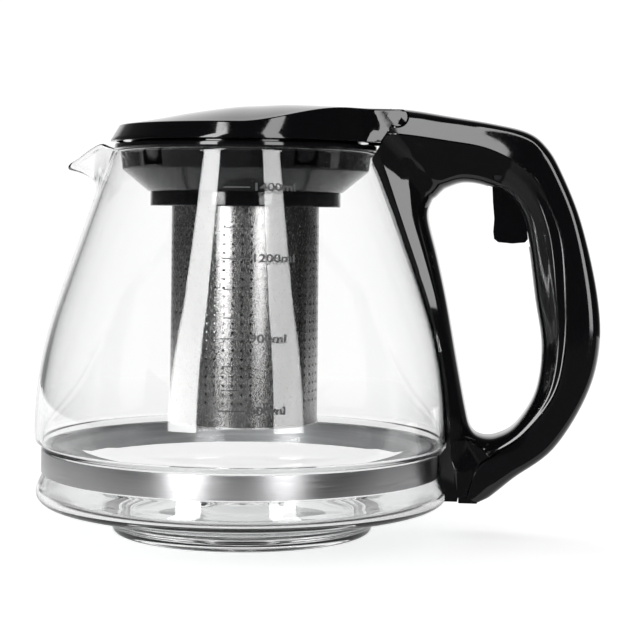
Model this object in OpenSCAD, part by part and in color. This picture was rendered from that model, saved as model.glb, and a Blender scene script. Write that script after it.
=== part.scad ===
// Glass teapot with a lift-out strainer, a hinged lid and a finger lever that opens it.
// Origin: centre of the foot on the table. +Z is up, +X points to the handle, -X to the spout.

/* [Glass] */
// Largest outer radius of the belly
belly_r = 70.2; // [62:0.1:80]
// Height of the widest ring of the belly
belly_z = 33; // [31:0.5:40]
// Radius of the arc that the belly rises in, seen from the side
shoulder_arc = 140; // [110:1:170]
// Lean of the straight upper wall, in degrees from the vertical
wall_lean = 19; // [15:0.5:22]
// Height of the rim
rim_z = 128; // [118:0.5:140]
// Wall of the glass
glass_wall = 2.2; // [1.8:0.1:3]
// Outer radius of the foot ring
foot_r = 44; // [38:0.5:48]
// Depth of the groove that the band sits in
groove_depth = 3; // [2:0.1:4]
// Length of the spout beyond the rim
spout_reach = 16.6; // [10:0.5:22]
// Half of the spout's width where it leaves the rim
spout_half = 15; // [11:0.5:18]

/* [Band] */
// Height of the band's lower edge
band_z = 20.4; // [19:0.1:22]
// Height of the band
band_h = 7.6; // [5:0.1:8.5]
// Thickness of the band
band_t = 0.6; // [0.4:0.1:1]

/* [Strainer] */
// Distance that the collar's flange stays inside the rim's outer edge
flange_in = 1.06; // [0.4:0.02:2]
// Thickness of the flange
flange_t = 1.7; // [1.2:0.1:2.5]
// Clear width between the inside of the rim and the foot of the collar's skirt
skirt_gap = 1.55; // [1.3:0.05:3]
// Height of the skirt below the flange
skirt_h = 7; // [5:0.1:10]
// Height of the cone below the skirt
cone_h = 7.4; // [5:0.1:10]
// Width of the clamping ring beyond the sleeve
clamp_ring_w = 7.3; // [6.5:0.1:9]
// Height of the clamping ring
clamp_ring_h = 4.8; // [3:0.1:7]
// Wall of the collar and its ring
collar_wall = 1.6; // [1.2:0.1:2]
// Outer radius of the perforated sleeve
sleeve_r = 25; // [20:0.5:27]
// Height of the sleeve's lower end
sleeve_foot_z = 37; // [25:0.5:60]
// Sheet of the sleeve and its base
sheet = 0.5; // [0.4:0.1:0.8]
// Diameter of one perforation
hole_d = 0.8; // [0.5:0.1:1.2]
// Distance from one row of perforations to the next
row_pitch = 2.88; // [2.6:0.1:5]
// Rows of perforations
hole_rows = 21; // [8:1:21]
// Flat facets round the sleeve, each with one column of perforations
sleeve_columns = 52; // [36:2:52]

/* [Lid] */
// Overhang of the lid's lower edge beyond the rim
lid_over = 0.44; // [0:0.02:3]
// Height of the dome above the lid's lower edge
lid_h = 12.8; // [10:0.1:16]
// Wall of the lid
lid_wall = 2.2; // [1.6:0.1:3]
// Clear height between the flange and the lid's lower edge
lid_gap = 0.8; // [0.3:0.1:1]

/* [Hinge and lever] */
// Radius of the hinge pin and of the lever's pin
pin_r = 1.25; // [1:0.05:1.4]
// Opening of the lid, in degrees
lid_swing = 72; // [60:1:76]
// Distance from the hinge pin to the nose that the rod pushes
nose_arm = 4.6; // [4.2:0.1:4.8]
// Swing of the lever, in degrees
lever_swing = 24; // [22:0.5:26]
// Half of the finger pad's width
pad_half = 5; // [4:0.1:6]

/* [Handle] */
// Half of the handle's width at the lid
arm_half = 17.5; // [16:0.1:18.5]
// Half of the handle's width at the grip
grip_half = 10.5; // [10:0.1:12]
// Half of the strap's width on the belly
strap_half = 12; // [10:0.1:13]
// Wall of the outer shell
shell_wall = 1.9; // [1.6:0.1:2.2]

/* [Hidden] */
$fn = 72;

// Clearances: between a shaft and its hole, between parts that slide, and between parts that sit together
fit = 0.05;
run = 0.35;
seat = 0.15;

black = [0.035, 0.035, 0.04];
steel = [0.72, 0.72, 0.73];

// ---- curves ----

function arc(centre, r, from, to, steps) =
  [for (i = [0 : steps]) let (a = from + (to - from) * i / steps) centre + r * [cos(a), sin(a)]];

// Catmull-Rom curve through a list of stations, each a vector of any length
function spline_at(p, i, t) =
  let (n = len(p), a = p[max(i - 1, 0)], b = p[i], c = p[min(i + 1, n - 1)], d = p[min(i + 2, n - 1)])
  0.5 * (2 * b + (c - a) * t + (2 * a - 5 * b + 4 * c - d) * t * t + (3 * b - a - 3 * c + d) * t * t * t);
function spline(p, steps) =
  [for (i = [0 : len(p) - 2], k = [0 : steps - 1]) spline_at(p, i, k / steps), p[len(p) - 1]];
function spline_ring(p, steps) =
  let (n = len(p))
  [for (i = [0 : n - 1], k = [0 : steps - 1])
    spline_at([p[(i + n - 1) % n], p[i], p[(i + 1) % n], p[(i + 2) % n]], 1, k / steps)];

// Closed surface over rings of points: a tube with two ends, or a loop that meets itself.
// The ends of a channel are strips from its outer line to its inner one.
module skin(rings, loop = false, channel = false) {
  n = len(rings);
  m = len(rings[0]);
  last = loop ? n - 1 : n - 2;
  sides = [for (i = [0 : last], j = [0 : m - 1], half = [0, 1])
    let (a = i * m + j, b = i * m + (j + 1) % m, c = (i + 1) % n * m + j, d = (i + 1) % n * m + (j + 1) % m)
    half == 0 ? [a, c, d] : [a, d, b]];
  far = (n - 1) * m;
  ends = loop ? []
    : channel ? [for (j = [0 : m / 2 - 2]) each [[j, j + 1, m - 2 - j, m - 1 - j],
        [far + m - 1 - j, far + m - 2 - j, far + j + 1, far + j]]]
    : [[for (j = [0 : m - 1]) j], [for (j = [m - 1 : -1 : 0]) far + j]];
  polyhedron([for (ring = rings, p = ring) p], concat(sides, ends), convexity = 10);
}

// ---- glass ----

shoulder_z = belly_z + shoulder_arc * sin(wall_lean);
shoulder_end_r = belly_r - shoulder_arc * (1 - cos(wall_lean));
rim_r = shoulder_end_r - (rim_z - shoulder_z) * tan(wall_lean);
groove_r = belly_r - groove_depth;
band_top = band_z + band_h;
heel_r = belly_r - 4.6;
heel_z = band_z - 6.4;
heel_arc = 4;

// Outer radius of the upper wall at a height
function glass_r(z) = z > shoulder_z ? shoulder_end_r - (z - shoulder_z) * tan(wall_lean)
  : belly_r - shoulder_arc * (1 - sqrt(1 - pow((z - belly_z) / shoulder_arc, 2)));

function wall_line(inset) = concat(
  arc([heel_r, heel_z], heel_arc - inset, -80, 25, 7),
  [[groove_r - inset, band_z - 0.2], [groove_r - inset, band_top + 0.2],
   [belly_r - inset - 0.5, belly_z - 2.5]],
  arc([belly_r - shoulder_arc, belly_z], shoulder_arc - inset, 0, wall_lean, 10),
  [[rim_r - inset, rim_z]]);

glass_outside = concat(
  [[0, 3.5], [foot_r - 8, 2.4], [foot_r - 4, 0.6], [foot_r - 3, 0], [foot_r - 1, 0], [foot_r, 0.8],
   [foot_r + 1.2, 4.6], [foot_r + 3, 6.2]],
  wall_line(0));
glass_inside = concat([[0, 8.2], [12, 7.8], [20, 6.2], [foot_r - 4, 6.4], [foot_r + 4, 9.4]],
  wall_line(glass_wall));

// Spout: cross-sections along -X, each with its half width, its lip height and its underside height
spout_tip = rim_r + spout_reach;
spout_drop = 10;
function lip(u) = rim_z + 3.6 - spout_drop * u;
spout_stations = spline([
  [rim_r - 7, spout_half + 4, rim_z, rim_z - 17],
  [rim_r - 1, spout_half, rim_z, rim_z - 13],
  [rim_r + 0.12 * spout_reach, 0.88 * spout_half, lip(0.12), rim_z - 11.2],
  [rim_r + 0.38 * spout_reach, 0.68 * spout_half, lip(0.38), rim_z - 10],
  [rim_r + 0.68 * spout_reach, 0.43 * spout_half, lip(0.68), rim_z - 8.6],
  [rim_r + 0.92 * spout_reach, 0.22 * spout_half, lip(0.93), rim_z - 8.9],
  [spout_tip, 0.08 * spout_half, lip(1.02), rim_z - 8.2]], 3);
function trough(s, inset, lift) =
  [for (i = [8 : -1 : -8]) let (a = 90 * i / 8)
    [-s[0], (s[1] - inset) * sin(a), s[2] + lift - (s[2] + lift - s[3] - inset) * pow(cos(a), 0.8)]];

module glass_body() {
  color([0.86, 0.93, 0.95, 0.35])
  difference() {
    union() {
      rotate_extrude($fn = 120)
        polygon(concat([[0, glass_outside[0][1]]], glass_outside, [[0, rim_z]]));
      skin([for (s = spout_stations) trough(s, 0, 0)]);
    }
    rotate_extrude($fn = 120)
      polygon(concat(glass_inside, [[rim_r - glass_wall, rim_z + 5], [0, rim_z + 5]]));
    skin([for (s = spout_stations) trough(s + [s[0] < rim_r ? -6 : 1.6, 0, 0, 0], glass_wall, 3)]);
  }
}

// ---- band ----

band_r = groove_r + fit;
lug_half = 5;
lug_reach = 5.6;
lug_t = 1.2;
clamp_z = band_z + band_h / 2;
clamp_r = 1.5;

module ring_tube(r_out, r_in, z, h) {
  translate([0, 0, z]) difference() {
    cylinder(r = r_out, h = h, $fn = 120);
    translate([0, 0, -1]) cylinder(r = r_in, h = h + 2, $fn = 120);
  }
}

module steel_band() {
  color(steel)
  difference() {
    union() {
      ring_tube(band_r + band_t, band_r, band_z, band_h);
      // bracket welded to the hoop, which the handle's clamping screw pulls on
      difference() {
        translate([band_r + 0.2, -lug_half, band_z + 0.6])
          cube([lug_reach, 2 * lug_half, band_h - 1.2]);
        translate([band_r - 1, -lug_half + lug_t, band_z])
          cube([lug_reach + 1.2 - lug_t, 2 * (lug_half - lug_t), band_h]);
        cylinder(r = band_r + 0.1, h = rim_z, $fn = 120);
      }
    }
    translate([band_r + 2, 0, clamp_z]) rotate([0, 90, 0]) cylinder(r = clamp_r + 0.1, h = 10, $fn = 32);
  }
}

lug_end = band_r + 0.2 + lug_reach;
nut_t = 2.2;
module band_nut() {
  color(steel)
  difference() {
    translate([lug_end - lug_t - nut_t, -2.8, clamp_z - 2.8]) cube([nut_t, 5.6, 5.6]);
    translate([lug_end - 6, 0, clamp_z]) rotate([0, 90, 0]) cylinder(r = clamp_r + 0.02, h = 8, $fn = 32);
  }
}

foot_wall = 2.4;
module band_screw() {
  color(steel)
  translate([lug_end - lug_t - nut_t + 0.2, 0, clamp_z]) rotate([0, 90, 0]) difference() {
    union() {
      cylinder(r = clamp_r, h = nut_t + lug_t + foot_wall, $fn = 32);
      translate([0, 0, nut_t + lug_t + foot_wall - 0.2 + seat]) cylinder(r = 2.8, h = 1.8, $fn = 32);
    }
    for (a = [0, 90]) rotate(a)
      translate([-1.6, -0.35, nut_t + lug_t + foot_wall + 0.9]) cube([3.2, 0.7, 2]);
  }
}

// ---- strainer ----

flange_r = rim_r - flange_in;
skirt_r = rim_r - glass_wall - skirt_gap;
clamp_ring_r = sleeve_r + clamp_ring_w;
flange_z = rim_z + seat;
flange_top = flange_z + flange_t;
skirt_foot = flange_z - skirt_h;
cone_foot = skirt_foot - cone_h;
ring_foot = cone_foot - clamp_ring_h;
// flared top of the sleeve, which the ring clamps under the collar
flare_r = clamp_ring_r - collar_wall - 1.2;
flare_z = ring_foot + 1.25;
window_half = 4;
window_side = 35.6;

module snap_window(a) {
  // slot round a springy tongue that hangs from the flange
  rotate([0, 0, a]) difference() {
    translate([-window_half - 0.2, skirt_r - 6, skirt_foot + 1]) cube([2 * window_half + 0.4, 9, 4.6]);
    translate([-2.9, skirt_r - 7, skirt_foot + 3.6]) cube([5.8, 11, 4]);
    translate([0, skirt_r - 7, skirt_foot + 3.7]) rotate([-90, 0, 0]) cylinder(r = 2.9, h = 11, $fn = 32);
  }
}

module infuser_collar() {
  color(black)
  difference() {
    rotate_extrude($fn = 96) polygon([
      [flange_r, flange_z], [flange_r, flange_top - 0.4], [flange_r - 0.4, flange_top],
      [skirt_r - collar_wall, flange_top], [skirt_r - collar_wall, skirt_foot],
      [clamp_ring_r - collar_wall, cone_foot], [flare_r - 1.2, cone_foot - 0.6],
      [flare_r - 1.2, flare_z + sheet + 0.1], [flare_r, flare_z + sheet + 0.1], [flare_r, ring_foot + 2.4],
      [clamp_ring_r - 0.6, ring_foot + 2.4], [clamp_ring_r - 0.6, cone_foot], [clamp_ring_r + 0.5, cone_foot],
      [skirt_r, skirt_foot], [skirt_r + 0.9, flange_z]]);
    for (side = [-1, 1], a = [-window_side, window_side]) snap_window(a + 90 + 90 * side);
  }
}

module infuser_ring() {
  color(black)
  rotate_extrude($fn = 96) polygon([
    [clamp_ring_r, cone_foot - 0.1], [clamp_ring_r, ring_foot + 0.4], [clamp_ring_r - 0.4, ring_foot],
    [sleeve_r + 0.4, ring_foot], [sleeve_r + 0.4, flare_z - fit], [flare_r + 0.2, flare_z - fit],
    [flare_r + 0.2, ring_foot + 2.2],
    [clamp_ring_r - 0.6 + fit, ring_foot + 2.2], [clamp_ring_r - 0.6 + fit, cone_foot - 0.1]]);
}

sleeve_h = flare_z + sheet / 2 - sleeve_foot_z;
first_row = sleeve_foot_z + 7.8;
// plain stripe of the lap seam, as angles
plain_from = 286;
plain_to = 324;

module facet_ring(r) {
  polygon([for (i = [0 : sleeve_columns - 1]) let (a = (i + 0.5) * 360 / sleeve_columns)
    r / cos(180 / sleeve_columns) * [cos(a), sin(a)]]);
}

module strainer_sleeve() {
  color(steel)
  difference() {
    union() {
      translate([0, 0, sleeve_foot_z]) linear_extrude(sleeve_h)
        difference() { facet_ring(sleeve_r); facet_ring(sleeve_r - sheet); }
      ring_tube(flare_r, sleeve_r - 0.3, flare_z, sheet);
    }
    for (i = [0 : sleeve_columns - 1], j = [0 : hole_rows - 1])
      let (a = 360 / sleeve_columns * i)
      if (a < plain_from || a > plain_to)
        rotate([0, 0, a]) translate([sleeve_r - 1.2, 0, first_row + row_pitch * j])
          rotate([0, 90, 0]) cylinder(d = hole_d, h = 2, $fn = 16);
  }
}

module strainer_base() {
  color(steel)
  difference() {
    union() {
      translate([0, 0, sleeve_foot_z - sheet]) cylinder(r = sleeve_r + 0.3, h = sheet - 0.02);
      ring_tube(sleeve_r - sheet - 0.15, sleeve_r - 2 * sheet - 0.15, sleeve_foot_z - 0.1, 3);
    }
    for (ring = [1 : 5], k = [0 : 6 * ring - 1])
      rotate([0, 0, 60 * k / ring]) translate([4 * ring, 0, sleeve_foot_z - 2])
        cylinder(d = 1.2, h = 4, $fn = 16);
  }
}

// ---- hinge, rod and lever: positions in the X-Z plane ----

lid_z = flange_top + lid_gap;
hinge = [rim_r + 6.9, lid_z + 8.5];
barrel_r = 2.7;
cove_r = barrel_r + 1.1;
// joint between lid and handle: a slanted line through the hinge
slant = 58.8;
nose_lean = lid_swing / 2;
nose_r = 1;
nose = hinge + nose_arm * [sin(nose_lean), -cos(nose_lean)];
rod_travel = 2 * nose_arm * sin(nose_lean) - 0.1;
rod_lean = 4.5;
rod_dir = [cos(rod_lean), -sin(rod_lean)];
rod_up = [sin(rod_lean), cos(rod_lean)];
rod_half = 0.9;
rod_start = nose + [nose_r + rod_half + fit, -0.73];
rod_length = 29.4;
rod_end = rod_start + rod_length * rod_dir;
tip_r = 1.3;
lever_arm = rod_travel / (2 * sin(lever_swing / 2));
lever_tip = rod_end + [tip_r + seat, -0.1];
lever_pivot = lever_tip - lever_arm * [sin(lever_swing / 2), cos(lever_swing / 2)];
finger_half = 3.4;
ear_from = finger_half + 0.5;
ear_to = 11.2;
pin_half = ear_to + 1.2;

module bar(y_half) { rotate([90, 0, 0]) translate([0, 0, -y_half]) linear_extrude(2 * y_half) children(); }
module rod_hole(at, r, half) {
  translate([at[0], 0, at[1]]) rotate([90, 0, 0]) cylinder(r = r, h = 2 * half, center = true, $fn = 48);
}

// ---- handle ----

glass_gap = 0.45;
function hug(z) = glass_r(z) + glass_gap;
// Points of the handle are drawn for one hinge and one belly. Its upper half follows the hinge when it
// moves, its foot follows the belly, and the strap between them is drawn out.
drawn_hinge = [52.456, 139.15];
drawn_belly_r = 70.2;
top_shift = hinge - drawn_hinge;
foot_shift = belly_r - drawn_belly_r;
function placed(x, z) =
  let (t = min(max((z - 40) / 70, 0), 1)) [x, z] + (1 - t) * [foot_shift, 0] + t * top_shift;

// Stations round the loop: inner edge, outer edge (the parting line), half width, and how far the
// outer edge follows the round belly. Where it follows it fully, its first number isn't used.
liner_drawn = [
  [68.6, 78.5, 0, 78.5, strap_half, 1],
  [65.4, 93, 0, 93, strap_half + 0.6, 1],
  [62.2, 106, 0, 107, strap_half + 2, 1],
  [63.2, 111.5, 0, 119, strap_half + 3.4, 1],
  [64.8, 113.2, 0, 126.5, arm_half - 0.3, 1],
  [66.6, 115, 47.6, 132.3, arm_half, 0.4],
  [68.4, 116.2, 53.33, 133.25, arm_half - 0.7, 0],
  [74, 117.9, 68, 131.4, arm_half - 3.6, 0],
  [81, 117, 81, 129.2, arm_half - 6, 0],
  [87.8, 113.9, 91.2, 124.6, grip_half - 0.1, 0],
  [92.8, 107.6, 99.2, 116.8, grip_half - 0.1, 0],
  [95.5, 97.5, 105.8, 102, grip_half, 0],
  [97.9, 80, 107.9, 82, grip_half, 0],
  [100.2, 64, 107.8, 64, grip_half, 0],
  [98.4, 49, 104.4, 48.5, grip_half, 0],
  [92, 38, 94.6, 35.6, grip_half + 0.2, 0],
  [85.6, 34, 84.2, 28.2, strap_half - 0.4, 0],
  [80.2, 33.8, 75, 22.5, strap_half, 0.5],
  [77, 36.4, 71.2, 26, strap_half, 0.8],
  [75.2, 43, 0, 41, strap_half, 1],
  [72, 60, 0, 60, strap_half, 1]];
liner_stations = [for (s = liner_drawn) let (a = placed(s[0], s[1]), b = placed(s[2], s[3]))
  [a[0], a[1], s[5] == 1 ? hug(b[1]) : b[0], b[1], s[4], s[5]]];

// Half outlines of a section from the inner edge (u = 0) to the parting line (u = 1), as [u, width] pairs:
// hollowed under the arm and along the grip, and on the strap a keel with a broad bevel down to the glass
arm_curve = [[0, 0], [0.01, 0.36], [0.1, 0.6], [0.34, 0.77], [0.58, 0.91], [0.72, 0.96]];
strap_curve = [[0, 0], [0.01, 0.36], [0.1, 0.62], [0.34, 0.85], [0.52, 0.89], [0.75, 0.945]];
edge_steps = 6;

function section_point(s, u, w) = [s[0] + (s[2] - s[0]) * u, w * s[4], s[1] + (s[3] - s[1]) * u];
function liner_curve(s) =
  [for (i = [0 : len(arm_curve) - 1]) (1 - s[5]) * arm_curve[i] + s[5] * strap_curve[i]];
function liner_ring(s) = let (curve = liner_curve(s)) concat(
  [for (i = [len(curve) - 1 : -1 : 1]) section_point(s, curve[i][0], -curve[i][1])],
  [for (p = curve) section_point(s, p[0], p[1])],
  [for (i = [0 : edge_steps])
    let (w = 1 - 2 * i / edge_steps, y = w * s[4],
      sink = s[5] * (s[2] - sqrt(max(s[2] * s[2] - y * y, 0))))
    section_point(s, 1, w) - [sink, 0, 0]]);

shell_drawn = [
  [42, 133.4, 42, 142.6, arm_half + 1.3],
  [53.4, 133.25, 55, 142.2, arm_half - 0.7],
  [68, 131.4, 70, 139.9, arm_half - 3.6],
  [81, 129.2, 84, 137.6, arm_half - 6],
  [91.2, 124.6, 95, 134.9, grip_half - 0.1],
  [95.6, 120.9, 101, 130.4, grip_half - 0.1],
  [99.2, 116.8, 106, 122.4, grip_half - 0.1],
  [105.8, 102, 112.9, 105.4, grip_half],
  [107.9, 82, 118.5, 82, grip_half],
  [107.8, 64, 119.6, 64, grip_half],
  [104.4, 48.5, 115.2, 47.6, grip_half],
  [94.6, 35.6, 104.6, 30.4, grip_half + 0.2],
  [86, 29, 91.4, 21.4, strap_half - 0.5],
  [81, 24, 86, 16.8, strap_half - 0.1],
  [78.2, 13.8, 83.8, 12.2, strap_half - 0.2]];

shell_stations = [for (s = shell_drawn) let (a = placed(s[0], s[1]), b = placed(s[2], s[3]))
  [a[0], a[1], b[0], b[1], s[4]]];

// Outline of half a section of the shell, from the parting line (u = 0) to the middle of its back (u = 1)
shell_curve = [[0, 1], [0.3, 0.998], [0.6, 0.988], [0.78, 0.958], [0.9, 0.84], [0.97, 0.52], [1, 0]];
arm_lean = 0.25;
// The shell's sides lean in towards the top of the arm and are upright on the grip
function lean(s) = arm_lean * min(max((90 + top_shift[0] - s[0]) / 25, 0), 1);
function shell_outline(s, inset, seam_gap) =
  let (d = [s[2] - s[0], s[3] - s[1]], l = norm(d), last = len(shell_curve) - 1)
  [for (i = [0 : 2 * last])
    let (c = shell_curve[i < last ? i : 2 * last - i], side = i < last ? 1 : -1,
      u = seam_gap / l + (1 - (inset + seam_gap) / l) * c[0], w = side * c[1] * (1 - lean(s) * c[0]))
    [s[0] + d[0] * u, w * (s[4] - inset), s[1] + d[1] * u]];
function reverse(list) = [for (i = [len(list) - 1 : -1 : 0]) list[i]];
function shell_ring(s) = concat(shell_outline(s, 0, seat), reverse(shell_outline(s, shell_wall, seat)));

// Half-plane in front of the slanted joint, with the round cove that the lid's barrel turns in
module joint_front(shift) {
  translate([hinge[0] + shift, hinge[1]]) rotate(slant) translate([-60, 0]) square([120, 60]);
}

// The shell's tongue lies under the foot, and two screws hold it there
tongue_x = belly_r + 3.2;
tongue_z = 12.2;
tongue_t = 1.8;
screw_r = 1.25;
screw_head_r = 2.2;
foot_screws = [[tongue_x + 2.4, 6], [tongue_x + 2.4, -6]];

module foot_block() {
  difference() {
    translate([foot_shift, 0, 0]) bar(strap_half) polygon([[67, 33], [67, 11.4], [73.2, 11.4],
      [73.2, tongue_z + 2], [78, tongue_z + 2], [80.8, 24], [83.6, 28.2], [80, 34]]);
    cylinder(r = band_r + band_t + glass_gap, h = rim_z, $fn = 120);
    rotate_extrude($fn = 120) polygon(concat([[0, 9]],
      arc([heel_r, heel_z], heel_arc + glass_gap, -80, 25, 7),
      [[groove_r + glass_gap + 0.3, band_z - 0.2], [groove_r + glass_gap + 0.3, band_z + 2], [0, band_z + 2]]));
    rotate_extrude($fn = 120) polygon(concat([[0, 20]], [[groove_r + 1, band_top],
      [belly_r + glass_gap - 0.5, belly_z - 2.5]],
      arc([belly_r - shoulder_arc, belly_z], shoulder_arc + glass_gap, 0, 3, 2), [[0, 42]]));
  }
}

// Space that the lever turns in, from the loop up into the shell
module lever_slot() {
  translate([top_shift[0], 0, top_shift[1]]) bar(pad_half + run) polygon([[82, 112], [82, 122], [80.2, 126],
    [80.2, 140], [98.4, 140], [103.4, 120], [104, 100], [94.4, 96.2]]);
}

module handle_liner() {
  color(black)
  difference() {
    union() {
      skin([for (s = spline_ring(liner_stations, 2)) liner_ring(s)], true);
      foot_block();
      // saddles that the rod slides in
      for (t = [0.2, 0.72]) let (p = rod_start + t * rod_length * rod_dir)
        translate([p[0] - 2, -5, p[1] - 6]) cube([4, 10, 6.2]);
    }
    bar(1.8 + run) polygon(let (low = -rod_half - run)
      [for (e = [[-8, low], [rod_length + 1, low], [rod_length + 1, 5], [-8, 5]])
      rod_start + e[0] * rod_dir + e[1] * rod_up]);
    lever_slot();
    bar(40) joint_front(0.2);
    rod_hole(lever_pivot, pin_r + fit, 9);
    for (p = foot_screws) translate([p[0], p[1], tongue_z]) cylinder(r = screw_r + fit, h = 7.6, $fn = 24);
    // pocket for the band's bracket, its nut and the clamping screw
    translate([band_r - 3, -lug_half - run, band_z])
      cube([lug_end - band_r + 3 + run, 2 * (lug_half + run), band_h]);
    translate([lug_end, 0, clamp_z]) rotate([0, 90, 0]) cylinder(r = clamp_r + fit, h = 20, $fn = 32);
    translate([lug_end + foot_wall, 0, clamp_z]) rotate([0, 90, 0]) cylinder(r = 3.2, h = 20, $fn = 32);
  }
}

module handle_shell() {
  color(black)
  difference() {
    union() {
      skin([for (s = spline(shell_stations, 2)) shell_ring(s)], channel = true);
      // ears that carry the hinge pin
      for (side = [-1, 1]) translate([0, side * (ear_from + ear_to) / 2, 0]) bar((ear_to - ear_from) / 2) {
        translate(hinge) circle(r = barrel_r, $fn = 48);
        translate([hinge[0] - 1, hinge[1] - 5]) square([7, 6.6]);
      }
      // boss that the lever's spring pushes against
      intersection() {
        translate([spring_at[0], 0, spring_top]) cylinder(r = 2.8, h = 12, $fn = 32);
        bar(4) polygon(concat([for (s = spline(shell_stations, 2)) [s[0], s[1]]],
          reverse([for (s = spline(shell_stations, 2)) [s[0], s[1]] + 0.93 * [s[2] - s[0], s[3] - s[1]]])));
      }
      // tongue under the foot
      translate([tongue_x, -strap_half + 1.5, tongue_z]) cube([10, 2 * strap_half - 3, tongue_t]);
    }
    difference() {
      bar(40) joint_front(0.2);
      for (side = [-1, 1]) translate([0, side * (ear_from + ear_to) / 2, 0]) bar((ear_to - ear_from) / 2)
        translate(hinge) circle(r = barrel_r + 0.02, $fn = 48);
    }
    for (y = [[-40, -ear_to - run], [-ear_from + run, ear_from - run], [ear_to + run, 40]])
      translate([0, (y[0] + y[1]) / 2, 0]) bar((y[1] - y[0]) / 2) translate(hinge) circle(r = cove_r, $fn = 48);
    rod_hole(hinge, pin_r + fit, 30);
    for (p = foot_screws) translate([p[0], p[1], 0]) {
      cylinder(r = screw_r + 0.2, h = 18, $fn = 24);
      cylinder(r = screw_head_r + 0.2, h = tongue_z + 1.1, $fn = 24);
    }
  }
}

module shell_screws() {
  color(steel)
  for (p = foot_screws) translate([p[0], p[1], tongue_z]) {
    cylinder(r = screw_head_r, h = 1, $fn = 24);
    cylinder(r = screw_r, h = 7, $fn = 24);
  }
}

// ---- lid ----

lid_r = rim_r + lid_over;
tail_half = arm_half + 0.3;
tail_top_half = arm_half * (1 - arm_lean);
tail_top = hinge[1] + barrel_r;
lid_screw_at = 34;
lid_screw_angles = [60, 180, 300];
liner_top = lid_z + 1.9;
// Length of the tail between x_from and x_to, with sides that lean in as the arm's do
module lid_tail(x_from, x_to, spread, inset, drop) {
  for (side = [-1, 1]) translate([x_from, side * (tail_top_half + spread - inset - 1.7), tail_top - 2 - inset])
    rotate([0, 90, 0]) cylinder(r = 2, h = x_to - x_from, $fn = 32);
  translate([x_from, -tail_half - spread + inset, lid_z - drop])
    cube([x_to - x_from, 2 * (tail_half + spread - inset), 2.6 - 0.5 * inset + drop]);
}
module lid_form(inset, drop) {
  hull() {
    translate([0, 0, lid_z - drop]) cylinder(r = lid_r - inset, h = 0.4, $fn = 64);
    translate([0, 0, lid_z + 5.3 - inset]) cylinder(r = lid_r - 3 - inset, h = 0.1, $fn = 64);
    translate([0, 0, lid_z + 7.2 - inset]) cylinder(r = lid_r - 7 - inset, h = 0.1, $fn = 64);
    translate([1, 0, lid_z + lid_h - 2.7 - inset]) cylinder(r = lid_r - 16 - inset, h = 0.1, $fn = 48);
    translate([6, 0, lid_z + lid_h - 0.9 - inset]) cylinder(r = lid_r - 26 - inset, h = 0.1, $fn = 48);
    translate([14, 0, lid_z + lid_h - 0.1 - inset]) cylinder(r = 9, h = 0.1, $fn = 32);
    lid_tail(30, lid_r - 3, 0.9, inset, drop);
  }
  hull() {
    lid_tail(lid_r - 6, lid_r - 5.9, 0.9, inset, drop);
    lid_tail(hinge[0] + 4.9, hinge[0] + 5, -1.4, inset, drop);
  }
}

module lid_cover() {
  color(black)
  difference() {
    union() {
      difference() {
        lid_form(0, 0);
        difference() {
          lid_form(lid_wall, 0.2);
          bar(40) joint_back(2.6);
        }
        difference() {
          bar(40) joint_back(0.2);
          bar(40) translate(hinge) circle(r = barrel_r + 0.35, $fn = 48);
        }
      }
      bar(finger_half) {
        translate(hinge) circle(r = barrel_r, $fn = 48);
        hull() {
          translate(hinge) circle(r = 0.8, $fn = 32);
          translate(hinge + 0.7 * (nose - hinge)) circle(r = 0.8, $fn = 32);
        }
        translate(nose) circle(r = nose_r, $fn = 32);
      }
      // screw bosses
      for (a = lid_screw_angles) rotate(a) translate([lid_screw_at, 0, liner_top])
        cylinder(r = 3, h = lid_z + 7.4 - liner_top, $fn = 32);
    }
    for (a = lid_screw_angles) rotate(a) translate([lid_screw_at, 0, lid_z - 1])
      cylinder(r = screw_r + fit, h = 7.2, $fn = 24);
    rod_hole(hinge, pin_r + fit, pin_half + 0.3);
    // notches for the handle's ears
    for (side = [-1, 1]) translate([0, side * (ear_from + ear_to) / 2, 0])
      bar((ear_to - ear_from) / 2 + run) translate(hinge) {
        circle(r = barrel_r + 1.2, $fn = 48);
        translate([-1.4, -6]) square([12, 12]);
      }
  }
}
module joint_back(shift) {
  translate([hinge[0] - shift / sin(slant), hinge[1]]) rotate(slant) translate([-60, -60]) square([120, 60]);
}

plug_r = skirt_r - collar_wall - 1.1;
plug_foot = flange_z - 2;
module lid_liner() {
  color(black)
  difference() {
    union() {
      translate([0, 0, lid_z + 0.3]) cylinder(r = lid_r - lid_wall - 2.2, h = liner_top - lid_z - 0.3);
      ring_tube(plug_r, plug_r - 1.6, plug_foot, lid_z + 1 - plug_foot);
    }
    for (a = lid_screw_angles) rotate(a) translate([lid_screw_at, 0, lid_z])
      cylinder(r = screw_r + fit, h = 4, $fn = 24);
  }
}

module lid_screws() {
  color(steel)
  for (a = lid_screw_angles) rotate(a) translate([lid_screw_at, 0, lid_z - 0.8]) {
    cylinder(r = screw_head_r, h = 1, $fn = 24);
    cylinder(r = screw_r, h = 6.6, $fn = 24);
  }
}

module lid_pin() {
  color(steel)
  rod_hole(hinge, pin_r, pin_half);
}

// ---- lever and rod ----

spring_at = lever_pivot + [9.4, 0];
spring_seat = lever_pivot[1] + 2.4;
spring_top = hinge[1] - 8.75;
spring_r = 2.1;
wire_r = 0.32;

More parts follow.
